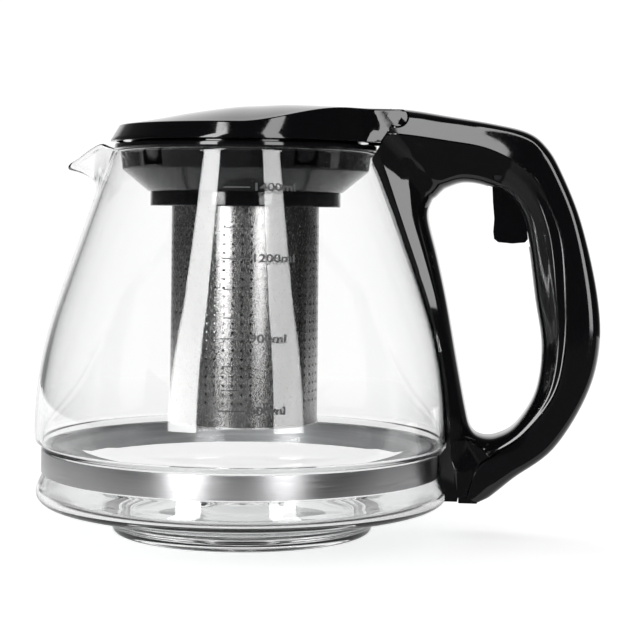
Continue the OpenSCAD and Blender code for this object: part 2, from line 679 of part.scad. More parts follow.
module trigger() {
  color(black)
  difference() {
    union() {
      translate([top_shift[0], 0, top_shift[1]]) bar(pad_half)
        polygon([[83.4, 118], [83.7, 111.6], [84.2, 106], [83.9, 101.6], [84.2, 99.3], [85.6, 98.2],
          [90.3, 97.8], [94.4, 98.2], [95.4, 99.4], [94.8, 104], [93, 110], [90.8, 116], [89.8, 122],
          [84, 122]]);
      bar(3) hull() {
        translate(lever_pivot) circle(r = 2.6, $fn = 32);
        translate(lever_tip) circle(r = tip_r, $fn = 32);
      }
      bar(3) translate(lever_pivot) polygon([[0, -2.4], [12, -0.6], [12, 2.1], [0, 2.1]]);
    }
    rod_hole(lever_pivot, pin_r + fit, 20);
  }
}

module trigger_pin() {
  color(steel)
  rod_hole(lever_pivot, pin_r, 8.6);
}

module push_rod() {
  color(steel)
  bar(1.8) {
    translate(rod_start) circle(r = rod_half, $fn = 32);
    polygon([for (e = [[0, -rod_half], [rod_length - 0.7, -rod_half], [rod_length, 0.7 - rod_half],
      [rod_length, rod_half], [0, rod_half]]) rod_start + e[0] * rod_dir + e[1] * rod_up]);
  }
}

coil_turns = 4;
coil_steps = 16;
module trigger_spring() {
  color(steel)
  skin([for (i = [0 : coil_turns * coil_steps])
    let (a = 360 * i / coil_steps, t = i / (coil_turns * coil_steps),
      z = spring_seat + wire_r + (spring_top - spring_seat - 2 * wire_r - 0.1) * t)
    [for (k = [0 : 7]) let (r = spring_r + wire_r * cos(45 * k))
      [spring_at[0] + r * cos(a), r * sin(a), z - wire_r * sin(45 * k)]]]);
}

glass_body();
steel_band();
band_screw();
band_nut();
infuser_collar();
infuser_ring();
strainer_sleeve();
strainer_base();
handle_liner();
handle_shell();
shell_screws();
lid_cover();
lid_liner();
lid_screws();
lid_pin();
trigger();
trigger_pin();
push_rod();
trigger_spring();
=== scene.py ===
"""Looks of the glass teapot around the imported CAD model. Lengths are millimetres until a mesh is made."""
from math import acos, atan2, cos, degrees, pi, radians, sin, sqrt, tan

import bmesh
import bpy
from mathutils import Matrix, Vector


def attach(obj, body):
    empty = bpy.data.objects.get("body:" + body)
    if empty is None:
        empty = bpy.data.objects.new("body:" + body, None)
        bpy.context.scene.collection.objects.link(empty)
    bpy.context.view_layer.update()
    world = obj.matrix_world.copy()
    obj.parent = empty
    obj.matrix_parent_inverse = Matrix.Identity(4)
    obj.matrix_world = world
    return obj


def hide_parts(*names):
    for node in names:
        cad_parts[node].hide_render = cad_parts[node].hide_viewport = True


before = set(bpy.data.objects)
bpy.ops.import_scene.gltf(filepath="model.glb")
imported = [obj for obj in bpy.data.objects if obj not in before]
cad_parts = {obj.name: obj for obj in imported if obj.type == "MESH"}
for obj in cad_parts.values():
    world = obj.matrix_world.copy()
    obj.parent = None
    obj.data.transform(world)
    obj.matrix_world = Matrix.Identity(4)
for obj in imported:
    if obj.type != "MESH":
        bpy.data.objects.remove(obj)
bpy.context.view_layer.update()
MM = 0.001
# Points nearer than this are one point
WELD = 0.002
# Half length of cutters that pass right through the lid or the handle, and how far the slanted ones run on
THROUGH, SLANT_REACH = 40, 60

# Sizes that part.scad sets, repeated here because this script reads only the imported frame
BELLY_R, BELLY_Z = 70.17, 33.0
SHOULDER_ARC, WALL_LEAN = 140.0, radians(19)
RIM_Z, GLASS_WALL = 128.0, 2.2
BAND_Z, BAND_H, BAND_T, GROOVE_DEPTH = 20.4, 7.6, 0.6, 3.0
SHOULDER_Z = BELLY_Z + SHOULDER_ARC * sin(WALL_LEAN)
SHOULDER_R = BELLY_R - SHOULDER_ARC * (1 - cos(WALL_LEAN))
RIM_R = SHOULDER_R - (RIM_Z - SHOULDER_Z) * tan(WALL_LEAN)
GROOVE_R = BELLY_R - GROOVE_DEPTH
FLANGE_Z, FLANGE_R, FLANGE_T = 128.15, 44.5, 1.7
SKIRT_R, SKIRT_H, CONE_H = 41.8, 7.0, 7.4
RING_R, RING_H, COLLAR_WALL = 32.3, 4.8, 1.6
SLEEVE_R, SLEEVE_FOOT, SHEET = 25.0, 37.0, 0.5
HOLE_R, ROW_PITCH, HOLE_ROWS, COLUMNS = 0.48, 2.88, 21, 52
LID_Z, LID_R = 130.65, RIM_R + 0.44
LID_TOP = LID_Z + 12.8
HINGE = Vector((RIM_R + 6.9, LID_Z + 8.5))
SLANT = radians(58.8)
BARREL, EAR_FROM, EAR_TO = 2.7, 3.9, 11.2
# Air beside the ears, and what lid and handle each stand back from the slanted joint
EAR_GAP, SLANT_GAP = 0.35, 0.2
BAND_R = GROOVE_R + 0.05
TONGUE_X, TONGUE_Z, FOOT_Z = 73.4, 12.2, 12.9


# ---- curves and meshes ----

def glass_r(z):
    """Outer radius of the glass wall at a height."""
    if z > SHOULDER_Z:
        return SHOULDER_R - (z - SHOULDER_Z) * tan(WALL_LEAN)
    return BELLY_R - SHOULDER_ARC * (1 - sqrt(1 - ((z - BELLY_Z) / SHOULDER_ARC) ** 2))


def spline_at(a, b, c, d, t):
    """Catmull-Rom point between b and c."""
    return tuple(0.5 * (2 * q + (r - p) * t + (2 * p - 5 * q + 4 * r - s) * t * t
                        + (3 * q - p - 3 * r + s) * t ** 3) for p, q, r, s in zip(a, b, c, d))


def spline(points, steps, loop=False):
    """Catmull-Rom curve through points that have any number of coordinates."""
    n = len(points)
    out = []
    for i in range(n if loop else n - 1):
        near = [points[j % n] if loop else points[min(max(j, 0), n - 1)] for j in range(i - 1, i + 3)]
        out += [spline_at(*near, k / steps) for k in range(steps)]
    return out if loop else out + [tuple(points[-1])]


def arc(centre, r, start, end, steps):
    """Points of an arc, with its ends in degrees."""
    angles = [radians(start + (end - start) * i / steps) for i in range(steps + 1)]
    return [(centre[0] + r * cos(a), centre[1] + r * sin(a)) for a in angles]


def grid_faces(rows, columns, loop_rows=False, loop_columns=True):
    """Quads between points that are listed row by row."""
    faces = []
    for i in range(rows if loop_rows else rows - 1):
        for j in range(columns if loop_columns else columns - 1):
            a, b = i * columns + j, i * columns + (j + 1) % columns
            c, d = ((i + 1) % rows) * columns + (j + 1) % columns, ((i + 1) % rows) * columns + j
            faces.append((a, b, c, d))
    return faces


def welded_mesh(name, points, faces):
    """A mesh whose meeting points are welded and whose faces are turned outwards."""
    mesh = bpy.data.meshes.new(name)
    mesh.from_pydata([Vector(p) * MM for p in points], [], faces)
    tidy = bmesh.new()
    tidy.from_mesh(mesh)
    bmesh.ops.remove_doubles(tidy, verts=tidy.verts, dist=WELD * MM)
    bmesh.ops.recalc_face_normals(tidy, faces=tidy.faces)
    tidy.to_mesh(mesh)
    tidy.free()
    return mesh


def piece(name, points, faces, material, body, replaces=(), sharp=None):
    """A mesh object that rides on a body and stands for the CAD nodes it replaces."""
    return dress(name, welded_mesh(name, points, faces), material, body, replaces, sharp)


def dress(name, mesh, material, body, replaces=(), sharp=None):
    """An object of a mesh, with its material and with what the frame has to know of it."""
    made = bpy.data.objects.new(name, mesh)
    bpy.context.scene.collection.objects.link(made)
    mesh.materials.clear()
    mesh.materials.append(material)
    mesh.shade_smooth()
    if sharp:
        mesh.set_sharp_from_angle(angle=radians(sharp))
    if body:
        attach(made, body)
    if replaces:
        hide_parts(*replaces)
    return made


def revolved(profile, segments):
    """Points and faces of a closed outline of (radius, height) turned about Z."""
    points = [(r * cos(2 * pi * j / segments), r * sin(2 * pi * j / segments), z)
              for r, z in profile for j in range(segments)]
    return points, grid_faces(len(profile), segments, loop_rows=True)


def rounded(corners, r=0.25, steps=3):
    """A closed outline with each corner rounded by a small fillet."""
    out = []
    n = len(corners)
    for i, corner in enumerate(corners):
        here, before, after = Vector(corner), Vector(corners[i - 1]), Vector(corners[(i + 1) % n])
        reach = min(r, (before - here).length * 0.4, (after - here).length * 0.4)
        a = here + (before - here).normalized() * reach
        b = here + (after - here).normalized() * reach
        for k in range(steps + 1):
            t = k / steps
            out.append(tuple((1 - t) ** 2 * a + 2 * t * (1 - t) * here + t * t * b))
    return out


def cutter(points, faces):
    """A solid that only takes part in booleans."""
    made = bpy.data.objects.new("cutter", welded_mesh("cutter", points, faces))
    bpy.context.scene.collection.objects.link(made)
    return made


def oblong(x0, z0, x1, z1):
    """Outline of an upright rectangle."""
    return [(x0, z0), (x1, z0), (x1, z1), (x0, z1)]


def slab(outline, y_from, y_to):
    """Cutter: an outline in the X-Z plane extruded from one Y to another."""
    n = len(outline)
    points = [(x, y, z) for y in (y_from, y_to) for x, z in outline]
    faces = [tuple(range(n)), tuple(range(2 * n - 1, n - 1, -1))]
    faces += [(i, (i + 1) % n, n + (i + 1) % n, n + i) for i in range(n)]
    return cutter(points, faces)


def carve(target, tools, operation="DIFFERENCE", sharp=30):
    """Applies booleans to a piece's mesh and removes the tools."""
    for tool in tools:
        m = target.modifiers.new("cut", "BOOLEAN")
        m.operation, m.object, m.solver = operation, tool, "EXACT"
    mesh = bpy.data.meshes.new_from_object(target.evaluated_get(bpy.context.evaluated_depsgraph_get()))
    target.modifiers.clear()
    target.data = mesh
    for tool in tools:
        bpy.data.objects.remove(tool)
    mesh.shade_smooth()
    if sharp:
        mesh.set_sharp_from_angle(angle=radians(sharp))


# ---- materials ----

def shader(name):
    m = bpy.data.materials.new(name)
    m.use_nodes = True
    nodes, links = m.node_tree.nodes, m.node_tree.links
    return m, nodes, links, nodes["Principled BSDF"]


def add_bump(nodes, links, target, texture_output, strength, distance):
    bump = nodes.new("ShaderNodeBump")
    bump.inputs["Strength"].default_value = strength
    bump.inputs["Distance"].default_value = distance
    links.new(texture_output, bump.inputs["Height"])
    links.new(bump.outputs["Normal"], target.inputs["Normal"])


def noise(nodes, links, scale, stretch=(1, 1, 1), detail=2.0):
    place = nodes.new("ShaderNodeTexCoord")
    mapping = nodes.new("ShaderNodeMapping")
    mapping.inputs["Scale"].default_value = stretch
    texture = nodes.new("ShaderNodeTexNoise")
    texture.inputs["Scale"].default_value = scale
    texture.inputs["Detail"].default_value = detail
    links.new(place.outputs["Object"], mapping.inputs["Vector"])
    links.new(mapping.outputs["Vector"], texture.inputs["Vector"])
    return texture.outputs["Fac"]


def ramp(nodes, links, source, stops):
    r = nodes.new("ShaderNodeValToRGB")
    elements = r.color_ramp.elements
    while len(elements) < len(stops):
        elements.new(0.5)
    for e, (at, colour) in zip(elements, stops):
        e.position, e.color = at, (*colour, 1)
    links.new(source, r.inputs["Fac"])
    return r.outputs["Color"]


def glass_material():
    """Clear glass, darker where it is seen edge on, that lets lamplight through to what it holds."""
    m, nodes, links, glass = shader("clear_glass")
    facing = nodes.new("ShaderNodeLayerWeight")
    facing.inputs["Blend"].default_value = 0.5
    tint = ramp(nodes, links, facing.outputs["Facing"],
                [(0.0, (1.0, 1.0, 1.0)), (0.72, (0.985, 0.99, 0.99)), (0.9, (0.84, 0.86, 0.86)),
                 (0.975, (0.5, 0.52, 0.52))])
    links.new(tint, glass.inputs["Base Color"])
    glass.inputs["Transmission Weight"].default_value = 1
    glass.inputs["Roughness"].default_value = 0
    glass.inputs["IOR"].default_value = 1.47
    clear = nodes.new("ShaderNodeBsdfTransparent")
    clear.inputs["Color"].default_value = (0.94, 0.95, 0.95, 1)
    path = nodes.new("ShaderNodeLightPath")
    mix = nodes.new("ShaderNodeMixShader")
    either = nodes.new("ShaderNodeMath")
    either.operation = "MAXIMUM"
    links.new(path.outputs["Is Shadow Ray"], either.inputs[0])
    links.new(path.outputs["Is Diffuse Ray"], either.inputs[1])
    links.new(either.outputs["Value"], mix.inputs["Fac"])
    links.new(glass.outputs["BSDF"], mix.inputs[1])
    links.new(clear.outputs["BSDF"], mix.inputs[2])
    links.new(mix.outputs["Shader"], nodes["Material Output"].inputs["Surface"])
    return m


def plastic_material():
    """Piano-black plastic: a faint waviness of the moulding and fine dust in the gloss."""
    m, nodes, links, black = shader("gloss_black")
    black.inputs["Base Color"].default_value = (0.006, 0.006, 0.007, 1)
    black.inputs["IOR"].default_value = 1.5
    links.new(ramp(nodes, links, noise(nodes, links, 900, detail=3.0),
                   [(0.35, (0.05, 0.05, 0.05)), (0.8, (0.11, 0.11, 0.11))]), black.inputs["Roughness"])
    add_bump(nodes, links, black, noise(nodes, links, 55, detail=1.0), 0.02, 0.0004)
    return m


def steel_material(name, colour, roughness, stretch, grain, smear=0, shade=0.86, shaded_within=0):
    """Brushed steel: its grain is noise drawn out along the brushing. Within a radius its colour is darkened as
    painted shade.
    """
    m, nodes, links, steel = shader(name)
    lines = noise(nodes, links, 60, stretch, 6.0)
    dark = tuple(shade * c for c in colour)
    tone = ramp(nodes, links, lines, [(0.3, dark), (0.7, colour)])
    if shaded_within:
        place, flatten, reach = (nodes.new(kind) for kind in
                                 ("ShaderNodeTexCoord", "ShaderNodeMapping", "ShaderNodeVectorMath"))
        flatten.inputs["Scale"].default_value = (1, 1, 0)
        reach.operation = "LENGTH"
        links.new(place.outputs["Object"], flatten.inputs["Vector"])
        links.new(flatten.outputs["Vector"], reach.inputs[0])
        # Painted shade: nearer the axis than the given radius, the steel's colour drops to 0.06 and stands in
        # for the dark inside of the sleeve.
        painted_inner_shade = ramp(nodes, links, reach.outputs["Value"],
                      [((shaded_within - 0.1) * MM, (0.06, 0.06, 0.06)), (shaded_within * MM, (1, 1, 1))])
        both = nodes.new("ShaderNodeVectorMath")
        both.operation = "MULTIPLY"
        links.new(tone, both.inputs[0])
        links.new(painted_inner_shade, both.inputs[1])
        tone = both.outputs["Vector"]
    links.new(tone, steel.inputs["Base Color"])
    steel.inputs["Metallic"].default_value = 1
    low, high = (roughness * 0.8,) * 3, (roughness * 1.25,) * 3
    links.new(ramp(nodes, links, lines, [(0.3, low), (0.7, high)]), steel.inputs["Roughness"])
    add_bump(nodes, links, steel, lines, grain, 0.0002)
    if smear:
        steel.inputs["Anisotropic"].default_value = smear
        steel.inputs["Anisotropic Rotation"].default_value = 0.25
        around = nodes.new("ShaderNodeTangent")
        around.direction_type, around.axis = "RADIAL", "Z"
        links.new(around.outputs["Tangent"], steel.inputs["Tangent"])
    return m


def print_material():
    """Dark grey enamel of the printed scale, thinner in places."""
    m, nodes, links, ink = shader("scale_print")
    links.new(ramp(nodes, links, noise(nodes, links, 2500, detail=2.0),
                   [(0.3, (0.03, 0.03, 0.032)), (0.75, (0.09, 0.09, 0.095))]), ink.inputs["Base Color"])
    ink.inputs["Roughness"].default_value = 0.5
    return m


GLASS = glass_material()
BLACK = plastic_material()
BAND_STEEL = steel_material("band_brushed_steel", (0.56, 0.56, 0.57), 0.42, (1, 1, 60), 0.1, 0.9)
# The inside of the sleeve is darkened by painted shade, so that its holes show dark.
SLEEVE_STEEL = steel_material("perforated_steel", (0.66, 0.655, 0.65), 0.24, (40, 40, 14), 0.01, shade=0.8,
                              shaded_within=SLEEVE_R - SHEET / 2)
BASE_STEEL = steel_material("strainer_floor_steel", (0.66, 0.655, 0.65), 0.3, (8, 8, 8), 0.1)
BLUED_STEEL = steel_material("blackened_pin_steel", (0.03, 0.03, 0.032), 0.3, (8, 8, 8), 0.2)
PIN_STEEL = steel_material("fastener_steel", (0.62, 0.62, 0.63), 0.3, (8, 8, 8), 0.2)
INK = print_material()


# ---- glass ----

HEEL = (BELLY_R - 4.6, BAND_Z - 6.4)
SPOUT_START = 110.0
SPOUT_SPAN = radians(24)
WALL_SEEN = GLASS_WALL * cos(WALL_LEAN)
# Half of the rim round the spout, from the round rim to the tip: distance along -X, half width, height
SPOUT_RIM = [(41.6, 18.5, RIM_Z), (44.6, 15.9, RIM_Z + 1.0), (48.0, 12.9, RIM_Z + 1.7), (52.4, 9.7, RIM_Z - 0.3),
             (57.0, 6.4, RIM_Z - 3.3), (60.6, 3.5, RIM_Z - 5.6), (62.0, 0, RIM_Z - 6.8)]
SPOUT_STEPS = 6


def lower_wall(inset):
    """Heel, groove and belly as (radius, height), up to where the spout starts."""
    heel = arc(HEEL, 4 - inset, -80, 30, 10)
    groove = spline([heel[-1], (GROOVE_R - inset + 0.35, BAND_Z - 1.0), (GROOVE_R - inset, BAND_Z + 0.6),
                     (GROOVE_R - inset, BAND_Z + BAND_H - 0.4), (GROOVE_R - inset + 0.6, BAND_Z + BAND_H + 1.1),
                     (BELLY_R - inset - 0.4, BELLY_Z - 2.2)], 4)[1:]
    centre = (BELLY_R - SHOULDER_ARC, BELLY_Z)
    belly = arc(centre, SHOULDER_ARC - inset, 0, degrees(WALL_LEAN), 26)
    straight = [(glass_r(z) - inset, z) for z in (88, 96, 103, SPOUT_START)]
    return heel + groove + belly + straight


def glass_profiles():
    foot = spline([(0.01, 5.5), (5, 5.4), (7.6, 5.0), (11.5, 3.5), (15, 2.5), (24, 2.1), (36, 1.9), (39.5, 1.3),
                   (41.0, 0.25), (42.3, 0.0), (43.5, 0.3), (44.0, 1.4), (44.3, 3.2), (45.4, 4.9), (48.5, 6.3),
                   (56, 7.9), (63, 9.4)], 4)
    floor = spline([(0.01, 8.9), (6, 8.8), (10, 8.2), (15, 7.0), (22, 6.4), (34, 6.3), (42, 7.2), (50, 9.3),
                    (58, 11.1), (64.2, 12.05)], 4)
    return foot + lower_wall(0), floor + lower_wall(GLASS_WALL)


def rim_columns():
    """For each column: its angle on the body and the end of its wall at the rim."""
    half = spline(SPOUT_RIM + [(SPOUT_RIM[-2][0], -SPOUT_RIM[-2][1], SPOUT_RIM[-2][2])], SPOUT_STEPS)
    half = half[:SPOUT_STEPS * (len(SPOUT_RIM) - 1) + 1]
    last = len(half) - 1
    right = [(pi - SPOUT_SPAN * (1 - i / last), (-x, y, z)) for i, (x, y, z) in enumerate(half)]
    left = [(2 * pi - a, (x, -y, z)) for a, (x, y, z) in reversed(right[:-1])]
    plain = 140
    span = 2 * (pi - SPOUT_SPAN)
    rest = []
    for k in range(1, plain):
        a = pi + SPOUT_SPAN + span * k / plain
        rest.append((a, (RIM_R * cos(a), RIM_R * sin(a), RIM_Z)))
    return right + left + rest


def rim_path(a, end, steps=14):
    """Wall from the body up to the rim: a cubic that stays on the cone away from the spout."""
    on_wall = [Vector((glass_r(z) * cos(a), glass_r(z) * sin(a), z)) for z in (SPOUT_START, 115.6, 119.2)]
    end = Vector(end)
    p = [on_wall[0], on_wall[1], on_wall[2].lerp(end, 0.28), end]
    out = []
    for k in range(1, steps + 1):
        t = k / steps
        out.append((1 - t) ** 3 * p[0] + 3 * t * (1 - t) ** 2 * p[1]
                   + 3 * t * t * (1 - t) * p[2] + t ** 3 * p[3])
    return out


def make_glass():
    outside, inside = glass_profiles()
    columns = rim_columns()
    n = len(columns)
    rows_out = [[(r * cos(a), r * sin(a), z) for a, _ in columns] for r, z in outside]
    paths = [rim_path(a, end) for a, end in columns]
    steps = len(paths[0])
    rows_up = [[paths[j][k] for j in range(n)] for k in range(steps)]
    rows_down = []
    lip_rows = [[] for _ in range(7)]
    for k in range(steps):
        row = []
        for j in range(n):
            here = paths[j][k]
            before = paths[j][k - 1] if k else Vector(rows_out[-1][j])
            after = paths[j][k + 1] if k < steps - 1 else here
            side = paths[(j + 1) % n][k] - paths[j - 1][k]
            up = (after - before).normalized()
            out = side.cross(up).normalized()
            inner = here - out * WALL_SEEN
            row.append(inner)
            if k == steps - 1:
                middle, half = (here + inner) / 2, (here - inner) / 2
                for i, lip_row in enumerate(lip_rows):
                    t = pi * (i + 1) / (len(lip_rows) + 1)
                    lip_row.append(middle + half * cos(t) + up * half.length * sin(t) - up * half.length)
                rows_up[-1][j] = here - up * half.length
                row[-1] = inner - up * half.length
        rows_down.append(row)
    rows_in = [[(r * cos(a), r * sin(a), z) for a, _ in columns] for r, z in inside]
    rows = rows_out + rows_up + lip_rows + rows_down[::-1] + rows_in[::-1]
    points = [p for row in rows for p in row]
    return piece("pot_glass", points, grid_faces(len(rows), n), GLASS, "pot", ["glass_body"])


# ---- band ----

def make_band():
    low, high = BAND_Z, BAND_Z + BAND_H
    profile = rounded(oblong(BAND_R, low, BAND_R + BAND_T, high), 0.15)
    points, faces = revolved(profile, 256)
    return piece("waist_band", points, faces, BAND_STEEL, "pot", ["steel_band"], sharp=50)


# ---- strainer ----

SKIRT_FOOT = FLANGE_Z - SKIRT_H
CONE_FOOT = SKIRT_FOOT - CONE_H
RING_FOOT = CONE_FOOT - RING_H
FLARE_R = RING_R - COLLAR_WALL - 1.2
FLARE_Z = RING_FOOT + 1.25
WINDOW_TURN = 35.6
# Sector of the sleeve without holes, and where the lap seam starts in it, in degrees
PLAIN_FROM, PLAIN_TO, SEAM_FROM = 286, 324, 298


def make_collar():
    top = FLANGE_Z + FLANGE_T
    profile = rounded([
        (FLANGE_R, FLANGE_Z), (FLANGE_R, top), (SKIRT_R - COLLAR_WALL, top), (SKIRT_R - COLLAR_WALL, SKIRT_FOOT),
        (RING_R - COLLAR_WALL, CONE_FOOT), (FLARE_R - 1.2, CONE_FOOT - 0.6),
        (FLARE_R - 1.2, FLARE_Z + SHEET + 0.1), (FLARE_R, FLARE_Z + SHEET + 0.1),
        (RING_R - 0.6, RING_FOOT + 2.4), (RING_R - 0.6, CONE_FOOT), (RING_R + 0.5, CONE_FOOT),
        (SKIRT_R, SKIRT_FOOT), (SKIRT_R + 0.9, FLANGE_Z)], 0.45, 4)
    points, faces = revolved(profile, 224)
    collar = piece("strainer_collar", points, faces, BLACK, "pot", ["infuser_collar"], sharp=40)
    carve(collar, [window(side + lean) for side in (0, 180) for lean in (-WINDOW_TURN, WINDOW_TURN)], sharp=35)
    return collar


def window(turn):
    """U-shaped slot that frees a springy tongue, cut through the skirt."""
    outer, inner, low, high = 4.2, 2.9, SKIRT_FOOT + 1.0, SKIRT_FOOT + 5.6
    bend = [(inner * cos(a), SKIRT_FOOT + 4.9 - inner * sin(a)) for a in [pi * k / 12 for k in range(13)]]
    outline = [(outer, high), (outer, low), (-outer, low), (-outer, high),
               (-inner, high), *bend[::-1], (inner, high)]
    tool = slab(outline, -SKIRT_R - 4, -SKIRT_R + 7)
    tool.data.transform(Matrix.Rotation(radians(turn), 4, "Z"))
    return tool


def make_ring():
    inner = SLEEVE_R + 0.4
    profile = rounded([
        (RING_R, CONE_FOOT - 0.1), (RING_R, RING_FOOT), (inner, RING_FOOT), (inner, FLARE_Z - 0.05),
        (FLARE_R + 0.2, FLARE_Z - 0.05), (FLARE_R + 0.2, RING_FOOT + 2.2), (RING_R - 0.55, RING_FOOT + 2.2),
        (RING_R - 0.55, CONE_FOOT - 0.1)], 0.4, 4)
    points, faces = revolved(profile, 192)
    return piece("strainer_ring", points, faces, BLACK, "pot", ["infuser_ring"], sharp=40)


def make_sleeve():
    """Round sleeve of sheet steel with real holes, each in an eight-sided cell of the sheet."""
    first_row = SLEEVE_FOOT + 7.8
    rows = [first_row + ROW_PITCH * j for j in range(HOLE_ROWS)]
    edges = [SLEEVE_FOOT] + [z - ROW_PITCH / 2 for z in rows] + [rows[-1] + ROW_PITCH / 2, FLARE_Z + SHEET / 2]
    step = 2 * pi / COLUMNS
    points, faces = [], []

    def put(angle, z, r):
        points.append((r * cos(angle), r * sin(angle), z))
        return len(points) - 1

    def cell(i, low, high, hole):
        a = step * i
        middle = (low + high) / 2
        left, right = a - step / 2, a + step / 2
        rim = [(right, middle), (right, high), (a, high), (left, high),
               (left, middle), (left, low), (a, low), (right, low)]
        shells = []
        for r in (SLEEVE_R, SLEEVE_R - SHEET):
            outer = [put(t, z, r) for t, z in rim]
            if hole:
                ring = [put(a + HOLE_R * cos(k * pi / 4) / r, middle + HOLE_R * sin(k * pi / 4), r)
                        for k in range(8)]
                faces.extend((outer[k], outer[(k + 1) % 8], ring[(k + 1) % 8], ring[k]) for k in range(8))
                shells.append(ring)
            else:
                centre = put(a, middle, r)
                faces.extend((outer[k], outer[(k + 1) % 8], centre) for k in range(8))
        if hole:
            near, far = shells
            faces.extend((near[k], near[(k + 1) % 8], far[(k + 1) % 8], far[k]) for k in range(8))

    for i in range(COLUMNS):
        plain = PLAIN_FROM <= degrees(step * i) <= PLAIN_TO
        for k in range(len(edges) - 1):
            cell(i, edges[k], edges[k + 1], 1 <= k <= HOLE_ROWS and not plain)
        for z in (edges[0], edges[-1]):
            for half in (-0.5, 0.0):
                a, b = step * (i + half), step * (i + half + 0.5)
                faces.append((put(a, z, SLEEVE_R), put(b, z, SLEEVE_R), put(b, z, SLEEVE_R - SHEET),
                              put(a, z, SLEEVE_R - SHEET)))
    sleeve = piece("perforated_sleeve", points, faces, SLEEVE_STEEL, "pot",
                   ["strainer_sleeve"], sharp=45)
    seam_and_flare()
    return sleeve


def seam_and_flare():
    """Flared top of the sleeve, and the strip where the sheet laps over itself."""
    flare = [(FLARE_R, FLARE_Z), (FLARE_R, FLARE_Z + SHEET),
             (SLEEVE_R - 0.5, FLARE_Z + SHEET), (SLEEVE_R - 0.5, FLARE_Z)]
    points, faces = revolved(flare, 96)
    piece("sleeve_flare", points, faces, SLEEVE_STEEL, "pot", sharp=40)
    low, high = SLEEVE_FOOT + 0.3, RING_FOOT - 0.3
    angles = [radians(SEAM_FROM + 0.5 * k) for k in range(13)]
    outline = (low, SLEEVE_R), (low, SLEEVE_R + 0.22), (high, SLEEVE_R + 0.22), (high, SLEEVE_R)
    strip = [(r * cos(a), r * sin(a), z) for z, r in outline for a in angles]
    sides = grid_faces(4, len(angles), loop_rows=True, loop_columns=False)
    n = len(angles)
    ends = [(0, n, 2 * n, 3 * n), (n - 1, 2 * n - 1, 3 * n - 1, 4 * n - 1)]
    piece("sleeve_lap_seam", strip, sides + ends, SLEEVE_STEEL, "pot", sharp=40)


# ---- handle ----

# Air between handle and pot, width of the seam between liner and shell, and wall of the shell
GLASS_GAP, SHELL_SEAM, SHELL_WALL = 0.45, 0.15, 1.9
# The arm narrows towards its back by this share; below the middle of the grip the sides are upright
ARM_LEAN, GRIP_MIDDLE = 0.25, 60
# Half width of the slot that the lever swings into
LEVER_SLOT = 5.35
# Half widths on the belly, at the lid and at the grip
STRAP, ARM, GRIP = 12.0, 17.5, 10.5


def hug(z):
    """Radius at which the handle lies along the glass."""
    return glass_r(z) + GLASS_GAP


# Stations round the loop: inner edge, parting line, half width, how far it follows the round belly, and how
# much of the keel's, the bevel's and the grip's section it has; the rest is the arm's
LINER = [
    (68.6, 78.5, hug(78.5), 78.5, STRAP, 1, 0.2, 0.8, 0), (65.4, 93, hug(93), 93, STRAP + 0.6, 1, 0, 1, 0),
    (62.2, 106, hug(107), 107, STRAP + 1.8, 1, 0, 1, 0), (63.2, 111.5, hug(119), 119, STRAP + 2.9, 1, 0, 1, 0),
    (64.8, 113.2, hug(126.5), 126.5, ARM - 1, 1, 0, 0.7, 0), (66.6, 115, 47.6, 132.3, ARM - 0.3, 0.4, 0, 0.3, 0),
    (68.4, 116.2, 53.33, 133.25, ARM - 0.5, 0, 0, 0, 0), (74, 117.9, 68, 131.4, ARM - 3.2, 0, 0, 0, 0),
    (81, 117, 81, 129.2, ARM - 5.7, 0, 0, 0, 0), (87.8, 113.9, 91.2, 124.6, GRIP - 0.3, 0, 0, 0, 0),
    (92.8, 107.6, 99.2, 116.8, GRIP - 0.3, 0, 0, 0, 0.5), (95.5, 97.5, 105.8, 102, GRIP, 0, 0, 0, 1),
    (97.9, 80, 107.9, 82, GRIP, 0, 0, 0, 1), (100.2, 64, 107.8, 64, GRIP, 0, 0, 0, 1),
    (98.4, 49, 104.4, 48.5, GRIP, 0, 0, 0, 1), (92, 38, 94.6, 35.6, GRIP + 0.2, 0, 0, 0, 1),
    (85.6, 34, 84.2, 28.2, STRAP - 0.4, 0, 0, 0, 0), (80.2, 33.8, 75, 22.5, STRAP, 0.5, 0.5, 0, 0),
    (77, 36.4, 71.2, 26, STRAP, 0.8, 0.8, 0, 0), (75.2, 43, hug(41), 41, STRAP, 1, 1, 0, 0),
    (72, 60, hug(60), 60, STRAP, 1, 1, 0, 0)]
# Stations of the shell: parting line, outer line, half width
SHELL = [
    (42, 133.4, 42, 142.6, ARM + 1.3), (53.4, 133.25, 55, 142.2, ARM - 0.5), (68, 131.4, 70, 139.9, ARM - 3.2),
    (81, 129.2, 84, 137.6, ARM - 5.7), (91.2, 124.6, 95, 134.9, GRIP - 0.3),
    (95.6, 120.9, 101, 130.4, GRIP - 0.3), (99.2, 116.8, 106, 122.4, GRIP - 0.3),
    (105.8, 102, 112.9, 105.4, GRIP), (107.9, 82, 118.4, 82, GRIP), (107.8, 64, 119.4, 64, GRIP),
    (104.4, 48.5, 115.2, 47.6, GRIP), (94.6, 35.6, 104.8, 30.2, GRIP + 0.2),
    (86, 29, 91.9, 20.3, STRAP - 0.5), (80.6, 25.4, 86.6, 15.9, STRAP - 0.1),
    (78, 20.4, 83.4, 13.5, STRAP - 0.2), (76, 14.2, 80.4, 12.4, STRAP - 0.3)]
